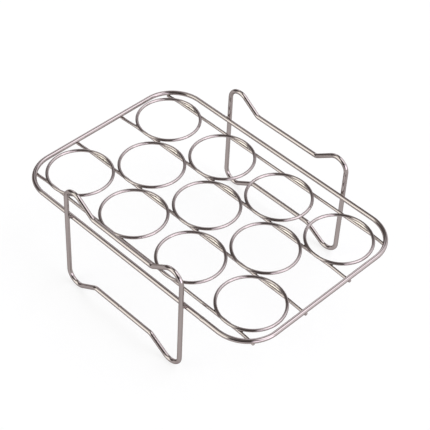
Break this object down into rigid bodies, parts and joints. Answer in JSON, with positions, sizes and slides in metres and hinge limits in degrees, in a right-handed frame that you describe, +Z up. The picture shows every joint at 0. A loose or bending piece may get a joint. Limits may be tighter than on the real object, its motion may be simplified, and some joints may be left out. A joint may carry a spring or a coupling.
{
  "type": "wire ring rack",
  "caption": "Welded stainless wire rack that holds round food upright in open rings, raised on two bent wire leg loops.",
  "frame": {"origin": "middle of the rectangle of the four feet, on the surface that the rack stands on", "axes": "+X along the long side, +Y from the front leg loop to the back one, +Z up"},
  "size_m": [0.2048, 0.1436, 0.081],
  "materials": {
    "thick_wire": "polished stainless steel wire, 3 mm",
    "thin_wire": "polished stainless steel wire, 2 mm"
  },
  "bodies": {
    "root": {"outer_frame": "thick_wire", "front_leg_loop": "thick_wire", "back_leg_loop": "thick_wire", "long_wire_1": "thin_wire", "long_wire_2": "thin_wire", "long_wire_3": "thin_wire", "long_wire_4": "thin_wire", "ring_a1": "thin_wire", "ring_a2": "thin_wire", "ring_a3": "thin_wire", "ring_a4": "thin_wire", "ring_b1": "thin_wire", "ring_b2": "thin_wire", "ring_b3": "thin_wire", "ring_c1": "thin_wire", "ring_c2": "thin_wire", "ring_c3": "thin_wire", "ring_c4": "thin_wire"}
  },
  "joints": []
}
